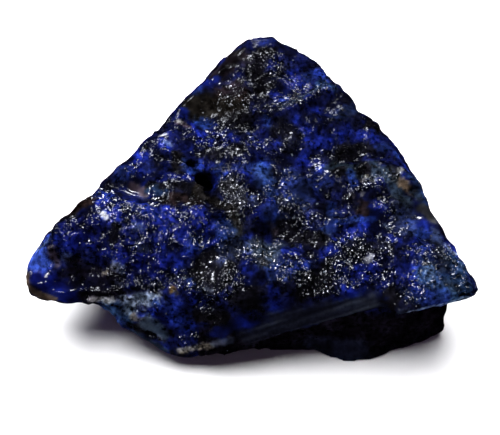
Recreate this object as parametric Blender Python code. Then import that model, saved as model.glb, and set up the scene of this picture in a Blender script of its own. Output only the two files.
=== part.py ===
"""A rough piece of sapphire, as broken from its bed.

One solid stone, about 105 mm across, lying on a flat fracture. Its top is a wide three-cornered
cleavage face that leans towards -Y. The face ends in thin overhanging corners at the left and the
right. Below its front edge a diagonal lip hangs over a darker root, on which the stone rests.

The stone is made the way it broke: seven blocks are cut by fracture planes and welded into one
skin. They are a slab with its two corners, and the root, toe and ledges it rests on. Then the
face's ridges, steps, hollows and pits are worked into the skin.
Lengths are in millimetres until to_metres, azimuths turn from +X towards +Y, and a slope is the
angle between a surface and the ground, so that an overhang has a slope over 90 degrees.
"""

import math

import bmesh
import bpy
import numpy as np
from mathutils import Vector, noise

NODE = "sapphire"

# The fractures that bound the stone: what it is: (a point on it, azimuth it looks to, slope).
FRACTURES = {
    "cleavage face": ((0.0, -12.0, 29.0), -90.0, 12.0),
    "roll of the face to the front left": ((-26.0, -24.5, 26.0), -98.0, 31.0),
    "bevel of the upper left edge": ((-23.0, 15.0, 30.8), 150.0, 49.0),
    "bevel of the right edge": ((38.0, 6.5, 29.9), 22.0, 49.0),
    "chamfer of the right edge": ((45.0, -13.5, 26.3), 15.0, 55.0),
    "front left shoulder": ((-28.5, -36.0, 9.5), -102.0, 60.0),
    "front shoulder": ((-15.5, -40.6, 8.0), -93.0, 61.0),
    "grey band above the lip": ((10.0, -38.0, 15.2), -86.0, 79.0),
    "underside of the front lip": ((10.0, -38.0, 15.2), -67.0, 127.0),
    "front wall of the left corner": ((-46.0, -31.0, 18.0), -93.0, 66.0),
    "front underside of the left corner": ((-42.0, -32.4, 17.8), -92.0, 138.0),
    "underside of the left corner": ((-12.0, -37.0, 1.8), 200.0, 156.0),
    "front underside of the right corner": ((42.0, -35.4, 21.6), -80.0, 138.0),
    "side underside of the right corner": ((50.0, -30.0, 20.5), 5.0, 125.0),
    "facet of the toe": ((21.0, -38.0, 1.0), -106.0, 52.0),
    "front of the toe": ((31.0, -38.0, 1.5), -74.0, 66.0),
    "undercut of the back left wall": ((-27.0, 11.0, 22.0), 140.0, 101.0),
    "break in the back left wall": ((-30.0, 4.0, 17.0), 166.0, 122.0),
    "break under the apex": ((-4.0, 36.0, 19.0), 112.0, 120.0),
    "broken side of the left ledge": ((-21.5, 17.5, 12.0), 130.0, 86.0),
    "top of the left ledge": ((-19.0, 16.0, 18.5), 140.0, 20.0),
    "apex end of the left ledge": ((-10.5, 27.0, 12.0), 74.0, 100.0),
    "undercut of the back right wall": ((33.0, 14.0, 17.0), 32.0, 100.0),
    "broken side of the back ledge": ((12.0, 39.0, 9.0), 68.0, 78.0),
    "top of the back ledge": ((14.0, 36.0, 16.5), 70.0, 22.0),
    "right end of the back ledge": ((36.0, 20.0, 9.0), 18.0, 96.0),
    "worn left foot": ((-20.0, -14.0, 2.6), 190.0, 150.0),
    "worn back left foot": ((-13.0, 13.0, 4.5), 138.0, 148.0),
    "worn back foot": ((10.0, 33.0, 4.0), 84.0, 152.0),
    "worn right foot": ((38.0, 2.0, 4.5), 24.0, 150.0),
}

# The slab seen from above, from its left shoulder over the apex to the right and back.
SLAB_OUTLINE = [
    (-37.6, -35.8),  # left end of the shoulder
    (-37.4, -28.0),
    (-46.0, -22.0),
    (-48.2, -17.0),
    (-46.8, -14.2),
    (-45.8, -10.8),
    (-41.6, -7.6),
    (-39.8, -4.2),
    (-35.4, -1.4),
    (-31.8, 1.6),
    (-28.2, 5.2),  # notch of the left edge
    (-26.6, 8.8),
    (-22.6, 12.6),
    (-18.4, 20.0),
    (-13.0, 27.8),
    (-10.0, 31.7),
    (-5.7, 36.0),
    (-2.2, 37.8),
    (0.4, 38.8),  # apex
    (5.2, 38.4),
    (8.2, 37.4),
    (14.0, 33.2),
    (18.8, 29.4),
    (21.6, 25.4),
    (24.8, 21.4),
    (27.2, 17.8),
    (28.0, 14.2),  # notch of the right edge
    (32.8, 11.6),
    (36.6, 8.9),
    (39.0, 5.2),
    (40.6, 1.8),
    (41.8, -1.7),
    (42.2, -5.0),
    (43.3, -8.2),
    (44.0, -11.3),
    (45.2, -14.5),
    (46.0, -17.6),
    (45.0, -26.0),
    (31.5, -32.0),
    (31.0, -38.0),  # nick between the band and the right corner
    (12.0, -40.6),
    (-8.0, -40.6),
    (-16.0, -40.0),  # front-most point of the lip
    (-20.5, -39.4),
    (-24.0, -37.0),
    (-27.8, -35.2),
    (-32.5, -36.2),
]

# The thin corners that overhang the ground at the left and the right.
LEFT_CORNER_OUTLINE = [
    (-52.0, -30.2),  # tip
    (-53.0, -27.2),
    (-52.4, -22.4),
    (-49.0, -17.2),
    (-42.0, -10.5),
    (-30.0, -12.0),
    (-30.0, -30.0),
    (-36.5, -33.6),
    (-48.6, -32.0),
]
RIGHT_CORNER_OUTLINE = [
    (53.4, -30.0),  # tip
    (52.6, -31.6),
    (50.2, -32.4),
    (44.2, -34.2),
    (38.0, -36.0),
    (33.8, -38.0),
    (31.8, -35.0),
    (30.0, -20.0),
    (42.0, -10.0),
    (46.0, -17.6),
    (48.8, -20.6),
    (50.6, -24.2),
    (51.2, -26.8),
]

# What the slab rests on, as footprints on the ground: the root, its toe and its ledge behind.
ROOT_OUTLINE = [
    (-24.0, -30.0),
    (-18.0, -35.0),
    (-11.5, -37.6),
    (-6.0, -37.2),
    (0.0, -36.3),
    (8.0, -36.0),
    (14.0, -35.8),
    (24.0, -35.2),
    (35.0, -36.2),
    (41.0, -35.2),
    (46.0, -33.4),
    (50.2, -31.8),  # right toe
    (49.4, -24.0),
    (43.0, -10.0),
    (38.0, 4.0),
    (30.0, 16.0),
    (18.0, 28.0),
    (6.0, 35.0),
    (-4.0, 32.0),
    (-14.0, 20.0),
    (-22.0, 6.0),
    (-28.0, -8.0),
    (-29.0, -20.0),
]
TOE_OUTLINE = [
    (13.5, -34.5),
    (19.0, -37.2),
    (23.0, -38.8),
    (26.0, -39.2),
    (31.0, -38.0),
    (38.0, -35.0),
    (34.0, -26.0),
    (17.0, -26.0),
]
LEFT_LEDGE_OUTLINE = [
    (-27.5, 8.0),
    (-24.5, 14.5),
    (-18.5, 21.0),
    (-12.0, 28.5),
    (-5.0, 22.0),
    (-16.0, 4.0),
]
BACK_LEDGE_OUTLINE = [
    (4.0, 24.0),
    (6.0, 38.5),
    (11.0, 41.0),
    (21.0, 37.5),
    (31.0, 29.0),
    (38.0, 18.0),
    (30.0, 8.0),
]

# How the stone is put together: (outline, bottom, top, share it narrows to by the top, fractures).
FACE = ["cleavage face", "roll of the face to the front left"]
FRONT = ["front left shoulder", "front shoulder", "grey band above the lip"]
FOOT = ["worn left foot", "worn back left foot", "worn back foot", "worn right foot"]
BLOCKS = {
    "slab": (
        SLAB_OUTLINE, -3.0, 50.0, 1.0,
        FACE + FRONT + FOOT + [
            "bevel of the upper left edge", "bevel of the right edge", "chamfer of the right edge",
            "underside of the front lip", "underside of the left corner",
            "undercut of the back left wall", "break in the back left wall",
            "break under the apex", "undercut of the back right wall",
        ],
    ),
    "left corner": (
        LEFT_CORNER_OUTLINE, 5.0, 50.0, 1.0,
        FACE + [
            "front wall of the left corner", "front underside of the left corner",
            "underside of the left corner", "bevel of the upper left edge",
        ],
    ),
    "right corner": (
        RIGHT_CORNER_OUTLINE, 5.0, 50.0, 1.0,
        FACE + [
            "chamfer of the right edge", "front underside of the right corner",
            "side underside of the right corner",
        ],
    ),
    "root": (ROOT_OUTLINE, -3.0, 20.0, 0.88, FACE + FRONT + FOOT),
    "toe": (TOE_OUTLINE, -3.0, 12.0, 1.0, ["facet of the toe", "front of the toe"]),
    "back ledge": (
        BACK_LEDGE_OUTLINE, 0.0, 20.0, 1.0,
        FOOT + ["broken side of the back ledge", "top of the back ledge", "right end of the back ledge"],
    ),
    "left ledge": (
        LEFT_LEDGE_OUTLINE, 6.0, 22.0, 1.0,
        ["broken side of the left ledge", "top of the left ledge", "apex end of the left ledge"],
    ),
}
NARROWS_TOWARDS = (30.0, 0.0)

# Relief of the face: (what it is, its line seen from above, half width, height; hollows are negative).
FACE_RELIEF = [
    ("left ridge", [(-45, -19), (-36, -15.5), (-24, -13), (-12, -12.5), (-4, -15)], 5.5, 3.2),
    ("valley in front of the ridge", [(-42, -28), (-29, -30), (-15, -26), (-4, -23)], 5.0, -2.6),
    ("front left shelf", [(-34, -33.5), (-22, -35), (-10, -34)], 3.5, 1.6),
    ("groove behind the ridge", [(-33, -5.5), (-28, -8.5), (-22, -11), (-5, -12)], 2.6, -1.9),
    ("upper left swell", [(-30, -3), (-22, 0), (-14, -3)], 7.0, 1.4),
    ("saddle with the pits", [(-14, 3.5), (-10, -3), (-8, -8)], 3.2, -1.6),
    ("grey slope", [(-3, -1), (0, -8), (3, -13)], 4.0, 1.7),
    ("brown hollow below the apex", [(-9, 24), (-6, 17), (-10, 12)], 5.5, -2.0),
    ("rib below the apex", [(-13, 22), (-7, 20), (-1, 14), (2, 11)], 2.0, 1.5),
    ("rib across the upper face", [(4, 13), (11, 15), (20, 21)], 2.0, 1.7),
    ("apex knob", [(0, 32), (5, 33), (11, 29)], 4.0, 1.2),
    ("right swell", [(22, 12), (30, 5), (34, -2)], 6.0, 1.0),
    ("hollow above the vein", [(14, 2), (24, 4), (30, 0)], 4.0, -1.3),
    ("vein ridge", [(22, -3), (30, 0), (38, -4), (43, -9)], 1.8, 1.4),
    ("middle hollow", [(6, -18), (13, -17.5), (17, -21)], 4.5, -2.0),
    ("blue tongue", [(17, -16), (21, -16), (28, -13), (35, -11.5)], 2.2, 1.3),
    ("right front swell", [(28, -24), (36, -23), (45, -27)], 6.0, 1.8),
    ("front middle swell", [(-2, -27), (6, -28), (14, -28)], 4.0, 1.3),
]

# Pits in the face: (x, y, radius, depth).
PITS = [
    (-10.4, -4.2, 2.0, 4.2),
    (-13.7, 0.3, 1.2, 2.8),
    (-9.2, -7.4, 1.4, 1.8),
    (-24.8, -29.5, 1.4, 1.6),
]

# Bands that broke smooth: (what it is, the line along its middle, half width).
SMOOTH_BANDS = [
    ("grey band above the lip", [(-2, -38.0, 15.0), (12, -37.0, 19.0), (31, -34.5, 22.5)], 5.0),
    ("bevel of the upper left edge", [(-36, -1, 28.0), (-21, 16, 32.5), (-3, 36, 37.0)], 3.5),
    ("facet of the toe", [(17, -36.5, 2.5), (27, -37.5, 3.0)], 4.0),
]

# Roughness of the broken skin: (size of the lumps, height of the lumps).
LUMPS = [(11.0, 0.7), (5.0, 0.6), (2.6, 0.3)]
WALL_CHIP_SIZE = 9.0
WALL_CHIP_HEIGHT = 1.1
FACE_TURN_START = 0.35  # upright part of the normal at which a wall begins to count as face
FACE_TURN_END = 0.75

SKIN_VOXEL = 0.9
TRIANGLES = 10500
FOOT_CUT = 0.5  # the stone's base is ground off flat by this much

DEEP_BLUE = (0.01, 0.016, 0.16, 1.0)
WET_ROUGHNESS = 0.22


def clear_scene():
    for obj in list(bpy.data.objects):
        bpy.data.objects.remove(obj, do_unlink=True)


def direction(azimuth, slope):
    """The outward normal of a fracture that looks to azimuth and has this slope."""
    a, s = math.radians(azimuth), math.radians(slope)
    return Vector((math.cos(a) * math.sin(s), math.sin(a) * math.sin(s), math.cos(s)))


def prism(outline, bottom, top, narrowed):
    """An upright block over an outline that is true at the ground and narrows with height."""
    bm = bmesh.new()
    middle = Vector(NARROWS_TOWARDS)
    rings = []
    for height in (bottom, top):
        share = 1.0 - (1.0 - narrowed) * height / top
        ring = [middle + (Vector(p) - middle) * share for p in outline]
        rings.append([bm.verts.new((p.x, p.y, height)) for p in ring])
    low, high = rings
    bm.faces.new(low)
    bm.faces.new(high)
    for i in range(len(outline)):
        j = (i + 1) % len(outline)
        bm.faces.new((low[i], low[j], high[j], high[i]))
    bmesh.ops.recalc_face_normals(bm, faces=bm.faces)
    return bm


def break_off(bm, point, normal):
    """Removes what lies beyond a fracture plane, and closes the stone with the new surface."""
    everything = bm.verts[:] + bm.edges[:] + bm.faces[:]
    cut = bmesh.ops.bisect_plane(
        bm, geom=everything, plane_co=point, plane_no=normal, clear_outer=True, dist=1e-5
    )
    edges = [e for e in cut["geom_cut"] if isinstance(e, bmesh.types.BMEdge)]
    bmesh.ops.holes_fill(bm, edges=edges)
    bmesh.ops.recalc_face_normals(bm, faces=bm.faces)


def broken_block(outline, bottom, top, narrowed, fractures):
    bm = prism(outline, bottom, top, narrowed)
    for name in fractures:
        point, azimuth, slope = FRACTURES[name]
        break_off(bm, point, direction(azimuth, slope))
    return bm


def mesh_of(bm, name):
    mesh = bpy.data.meshes.new(name)
    bm.to_mesh(mesh)
    bm.free()
    return mesh


def with_modifier(mesh, kind, **settings):
    """The mesh as a modifier leaves it."""
    obj = bpy.data.objects.new("worked", mesh)
    bpy.context.scene.collection.objects.link(obj)
    modifier = obj.modifiers.new(kind.title(), kind)
    for name, value in settings.items():
        setattr(modifier, name, value)
    graph = bpy.context.evaluated_depsgraph_get()
    made = bpy.data.meshes.new_from_object(obj.evaluated_get(graph))
    bpy.data.objects.remove(obj)
    return made


def welded_skin():
    """All blocks as one closed skin of even faces."""
    joined = bmesh.new()
    for block in BLOCKS.values():
        joined.from_mesh(mesh_of(broken_block(*block), "block"))
    return with_modifier(
        mesh_of(joined, "blocks"), "REMESH", mode="VOXEL", voxel_size=SKIN_VOXEL, adaptivity=0.0
    )


def smooth_step(value, start, end):
    t = np.clip((value - start) / (end - start), 0.0, 1.0)
    return t * t * (3.0 - 2.0 * t)


def distance_to_line(points, line):
    """How far each point is from a line of straight stretches, seen from above if both are flat."""
    nearest = np.full(len(points), np.inf)
    for start, end in zip(np.array(line[:-1], float), np.array(line[1:], float)):
        along = end - start
        share = np.clip((points - start) @ along / (along @ along), 0.0, 1.0)
        nearest = np.minimum(nearest, np.linalg.norm(points - start - share[:, None] * along, axis=1))
    return nearest


def face_relief(plan):
    """Height that ridges and hollows add to the face at each point of the plan."""
    height = np.zeros(len(plan))
    for _, line, half_width, rise in FACE_RELIEF:
        height += rise * np.exp(-((distance_to_line(plan, line) / half_width) ** 2))
    for x, y, radius, depth in PITS:
        reach = np.linalg.norm(plan - (x, y), axis=1) / radius
        height -= depth * (1.0 - smooth_step(reach, 0.45, 1.15))
    return height


def lumps(points):
    """Rounded lumps of three sizes, with sharper creases between them."""
    height = np.zeros(len(points))
    for number, (size, rise) in enumerate(LUMPS):
        shift = Vector((31.7, -11.3, 7.9)) * (number + 1)
        height += [rise * (1.0 - 2.0 * abs(noise.noise(Vector(p) / size + shift)) - 0.5) for p in points]
    return height


def roughness(points):
    """1 where the skin is fully lumpy, less on the bands that broke smooth."""
    share = np.ones(len(points))
    for _, line, half_width in SMOOTH_BANDS:
        share -= 0.8 * np.exp(-((distance_to_line(points, line) / half_width) ** 2))
    return np.clip(share, 0.2, 1.0)


def wall_chips(points):
    """Flat-sided chips of the broken walls: the distance between the two nearest cell centres."""
    height = np.zeros(len(points))
    for i, p in enumerate(points):
        distances = noise.voronoi(Vector(p) / WALL_CHIP_SIZE, distance_metric="DISTANCE")[0]
        height[i] = (distances[1] - distances[0] - 0.3) * WALL_CHIP_HEIGHT
    return height


def work_surface(mesh):
    """Moves the skin's points: relief up on the face, chips out on the walls, lumps all over."""
    count = len(mesh.vertices)
    points, normals = np.empty(count * 3), np.empty(count * 3)
    mesh.vertices.foreach_get("co", points)
    mesh.vertices.foreach_get("normal", normals)
    points, normals = points.reshape(-1, 3), normals.reshape(-1, 3)
    on_face = smooth_step(normals[:, 2], FACE_TURN_START, FACE_TURN_END)
    rise = lumps(points) + (1.0 - on_face) * wall_chips(points)
    moved = points + normals * (rise * roughness(points))[:, None]
    moved[:, 2] += on_face * face_relief(points[:, :2])
    mesh.vertices.foreach_set("co", moved.ravel())
    mesh.update()


def thinned(mesh):
    mesh.calc_loop_triangles()
    share = TRIANGLES / len(mesh.loop_triangles)
    return with_modifier(mesh, "DECIMATE", decimate_type="COLLAPSE", ratio=share)


def ground_foot(mesh):
    """Cuts the base off flat, so that the stone rests on one plane."""
    bm = bmesh.new()
    bm.from_mesh(mesh)
    break_off(bm, (0.0, 0.0, FOOT_CUT), Vector((0.0, 0.0, -1.0)))
    bmesh.ops.triangulate(bm, faces=bm.faces)
    return bm


def to_metres(bm):
    """Puts the middle of the stone's box over the origin, its base on the ground, in metres."""
    points = np.array([v.co for v in bm.verts])
    low, high = points.min(axis=0), points.max(axis=0)
    middle = Vector(((low[0] + high[0]) / 2, (low[1] + high[1]) / 2, low[2]))
    for v in bm.verts:
        v.co = (v.co - middle) * 0.001


def sapphire_material():
    material = bpy.data.materials.new("wet_sapphire")
    material.use_nodes = True
    shader = material.node_tree.nodes["Principled BSDF"]
    shader.inputs["Base Color"].default_value = DEEP_BLUE
    shader.inputs["Roughness"].default_value = WET_ROUGHNESS
    shader.inputs["Metallic"].default_value = 0.0
    material.diffuse_color = DEEP_BLUE
    return material


def build():
    clear_scene()
    skin = welded_skin()
    work_surface(skin)
    bm = ground_foot(thinned(skin))
    to_metres(bm)
    stone = bpy.data.objects.new(NODE, mesh_of(bm, NODE))
    stone.data.materials.append(sapphire_material())
    bpy.context.scene.collection.objects.link(stone)


build()
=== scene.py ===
"""The look of a rough piece of sapphire: broken grains of blue, black-brown and teal, as if wet.

The stone is a finer copy of its CAD solid. Scallops, swells, grains and pits are worked into its
skin. Its minerals are laid down as named zones, each a line with a half width, and so is its
finish: how much of it a wet film covers, how chipped it is and how rippled. The chips, the ripples
and the mottle of single crystals are finer than the mesh and belong to the material. Laid among
the minerals is painted light: shade in the creases, the groove, the valley, the crack and the
pits and partly at the root, light on the tops of lumps, highlights on a few pale chips, and the
floor's reflection on the shelf, the band and a front facet.

Lengths are in millimetres in the frame of the CAD model, and colours are linear RGB.
"""

import math

import bpy
import numpy as np
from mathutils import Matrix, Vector, noise


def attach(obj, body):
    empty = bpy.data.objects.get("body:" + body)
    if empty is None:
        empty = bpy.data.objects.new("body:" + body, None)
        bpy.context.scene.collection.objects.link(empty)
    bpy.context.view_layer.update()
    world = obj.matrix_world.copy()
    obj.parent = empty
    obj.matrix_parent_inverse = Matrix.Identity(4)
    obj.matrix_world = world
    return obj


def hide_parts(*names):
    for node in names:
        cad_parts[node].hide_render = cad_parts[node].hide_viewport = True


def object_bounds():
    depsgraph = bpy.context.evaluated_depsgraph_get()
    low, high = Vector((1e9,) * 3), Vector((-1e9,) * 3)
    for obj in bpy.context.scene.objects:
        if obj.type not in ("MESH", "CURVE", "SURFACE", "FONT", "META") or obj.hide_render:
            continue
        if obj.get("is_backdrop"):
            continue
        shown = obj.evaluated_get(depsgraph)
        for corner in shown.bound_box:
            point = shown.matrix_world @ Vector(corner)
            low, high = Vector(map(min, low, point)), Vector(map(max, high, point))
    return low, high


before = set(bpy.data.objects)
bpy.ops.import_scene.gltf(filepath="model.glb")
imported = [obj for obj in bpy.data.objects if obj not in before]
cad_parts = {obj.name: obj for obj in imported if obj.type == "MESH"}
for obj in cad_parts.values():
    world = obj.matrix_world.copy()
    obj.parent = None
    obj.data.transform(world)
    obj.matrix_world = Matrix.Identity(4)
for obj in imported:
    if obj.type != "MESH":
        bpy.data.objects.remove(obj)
cad_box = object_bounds()

MM = 0.001

# The camera.
TARGET = (0.4, -11.5, 24.5)
CAMERA = (0.4, -105.1, 153.3)
LENS = 46.8
SENSOR = 36.0
NEAREST_SEEN, FARTHEST_SEEN = 5.0, 20000.0

# The lights. A lamp is its place, its size and its power in watts.
SOFT_BOX = ((-180.0, 390.0, 1110.0), 1150.0, 43.0)
GLINT_LAMPS = {  # seen only in the wet film: small bright lamps, two of them inside dimmer panels
    "back_lamp": ((-230.0, 760.0, 900.0), 300.0, 30.0),
    "back_panel": ((-230.0, 760.0, 900.0), 560.0, 2.0),
    "left_lamp": ((-750.0, 60.0, 940.0), 260.0, 22.0),
    "left_panel": ((-750.0, 60.0, 940.0), 480.0, 1.5),
    "front_lamp": ((-350.0, -700.0, 900.0), 180.0, 9.0),
}
GLINT_COLOUR = (0.86, 0.90, 1.0)
FILL_LEVEL = 0.04
FILL_COLOUR = (1.0, 0.70, 1.15, 1.0)

# The floor, and the wall round it that a low view looks at.
FLOOR_COLOUR = (0.93, 0.93, 0.945, 1.0)
FLOOR_ROUGHNESS = 0.8
FLOOR_SHINE = 0.2
FLOOR_SIZE = 20000.0
FLOOR_GLOW = (350.0, 900.0)  # how far out the floor starts to glow and glows in full
BACKDROP_RADIUS = 5000.0
BACKDROP_HEIGHT = 4000.0
BACKDROP_SIDES = 64
BACKDROP_GLOW = 1.1

# The skin of the stone. A noise is its size, its height or amount, and the number that picks it. A
# wander moves points by three noises, its own number's and the next two's.
NOISE_STEP = (37.1, 11.9, 5.3)  # from one number's noise to the next one's
SKIN_VOXEL = 0.505
SMOOTHING = (0.5, 8)  # strength of a step, and number of steps
SCALLOPS = [(6.5, 0.48, 1), (3.0, 0.24, 2)]  # sharp crests with rounded hollows between them
SWELLS = [(4.4, 0.40, 4), (2.1, 0.18, 5)]  # rounded tops with sharp creases between them
RELIEF_WANDERS = [(4.0, 1.6, 60)]
GRAINS = [(1.35, 0.32, 7)]  # where the skin is all chips
SMOOTH_SHARE = 0.2  # of the relief, where the skin has no chips
ROUGH_CHIPS = 0.6  # how chipped the skin is where it has all of the relief
BASE_EDGE = (0.2, 1.5)  # heights between which the flat base turns into worked skin
PITS = [  # middle seen from above, radius, depth
    ((-10.8, -4.7), 2.0, 2.4),
    ((-14.1, -0.2), 1.3, 1.8),
    ((-9.6, -7.7), 1.2, 1.2),
]
PIT_EDGE = (0.7, 1.15)  # shares of the radius between which a pit fades
# Painted shade: the pits get the deepest colour of this tone.
PIT_SHADE_TONE = "root"
FACE_HEIGHT, FACE_RISE = 32.2, 0.213  # of the cleavage face at y = 0, and its rise per mm of y
FACE_DEPTHS = (-8.0, -4.0)  # below the face, where zones of the face end and where they are whole

# Tones of the minerals: a deep, a middle and a light colour each. Which of them a point gets is
# partly random and partly set by relief, as painted shade in creases and painted light on tops.
TONES = {
    "navy": ((0.0008, 0.0008, 0.0026), (0.0019, 0.0026, 0.0180), (0.0046, 0.0075, 0.0750)),
    "deep": ((0.0008, 0.0009, 0.0072), (0.0016, 0.0027, 0.0442), (0.0052, 0.0111, 0.1495)),
    "royal": ((0.0008, 0.0010, 0.0052), (0.0021, 0.0042, 0.0600), (0.0085, 0.0210, 0.2300)),
    "azure": ((0.0026, 0.0070, 0.0450), (0.0125, 0.0320, 0.1800), (0.0280, 0.0660, 0.2900)),
    "facet": ((0.0110, 0.0250, 0.1500), (0.0270, 0.0600, 0.3300), (0.0700, 0.1300, 0.4600)),
    "teal": ((0.0023, 0.0046, 0.0130), (0.0091, 0.0235, 0.0620), (0.0390, 0.0840, 0.1700)),
    "greyteal": ((0.0039, 0.0059, 0.0097), (0.0143, 0.0221, 0.0377), (0.0650, 0.0845, 0.1170)),
    "green": ((0.0025, 0.0040, 0.0050), (0.0085, 0.0150, 0.0200), (0.0450, 0.0650, 0.0700)),
    "pale": ((0.0104, 0.0156, 0.0286), (0.0650, 0.0880, 0.1300), (0.2400, 0.2700, 0.3300)),
    # Pale grey; on the front shelf it stands partly for painted reflection of the floor and painted
    # glints.
    "shelf": ((0.0280, 0.0410, 0.0660), (0.2400, 0.2900, 0.3800), (0.6200, 0.6700, 0.7600)),
    "matrix": ((0.0008, 0.0007, 0.0010), (0.0022, 0.0020, 0.0029), (0.0072, 0.0062, 0.0091)),
    "olive": ((0.0012, 0.0009, 0.0007), (0.0042, 0.0034, 0.0024), (0.0125, 0.0105, 0.0078)),
    "brown": ((0.0013, 0.0008, 0.0008), (0.0080, 0.0046, 0.0042), (0.0260, 0.0140, 0.0115)),
    "grey": ((0.0026, 0.0025, 0.0023), (0.0123, 0.0120, 0.0117), (0.0780, 0.0767, 0.0715)),
    "greybrown": ((0.0052, 0.0052, 0.0052), (0.0156, 0.0156, 0.0156), (0.0338, 0.0338, 0.0351)),
    # Grey that paints the floor's reflection on the wet band; its streaks are the band's own.
    "band": ((0.0018, 0.0020, 0.0040), (0.0048, 0.0055, 0.0100), (0.0180, 0.0220, 0.0300)),
    # Near black: at the root its own dark with painted shade; in the valley and the pits, painted
    # shade.
    "root": ((0.0009, 0.0007, 0.0013), (0.0023, 0.0017, 0.0033), (0.0052, 0.0046, 0.0091)),
    "toe": ((0.0034, 0.0040, 0.0085), (0.0062, 0.0074, 0.0175), (0.0090, 0.0120, 0.0260)),
    "tan": ((0.0195, 0.0130, 0.0091), (0.0845, 0.0572, 0.0390), (0.1950, 0.1495, 0.1105)),
    "cream": ((0.0390, 0.0338, 0.0247), (0.1950, 0.1755, 0.1235), (0.3900, 0.3640, 0.2795)),
    "amber": ((0.0052, 0.0020, 0.0007), (0.0390, 0.0182, 0.0033), (0.1300, 0.0715, 0.0195)),
    "pink": ((0.0117, 0.0072, 0.0091), (0.0618, 0.0429, 0.0520), (0.2080, 0.1560, 0.1625)),
    # Also laid as painted highlights in some zones, which say so.
    "white": ((0.0780, 0.0780, 0.0780), (0.3250, 0.3250, 0.3120), (0.5200, 0.5200, 0.5070)),
}
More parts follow.
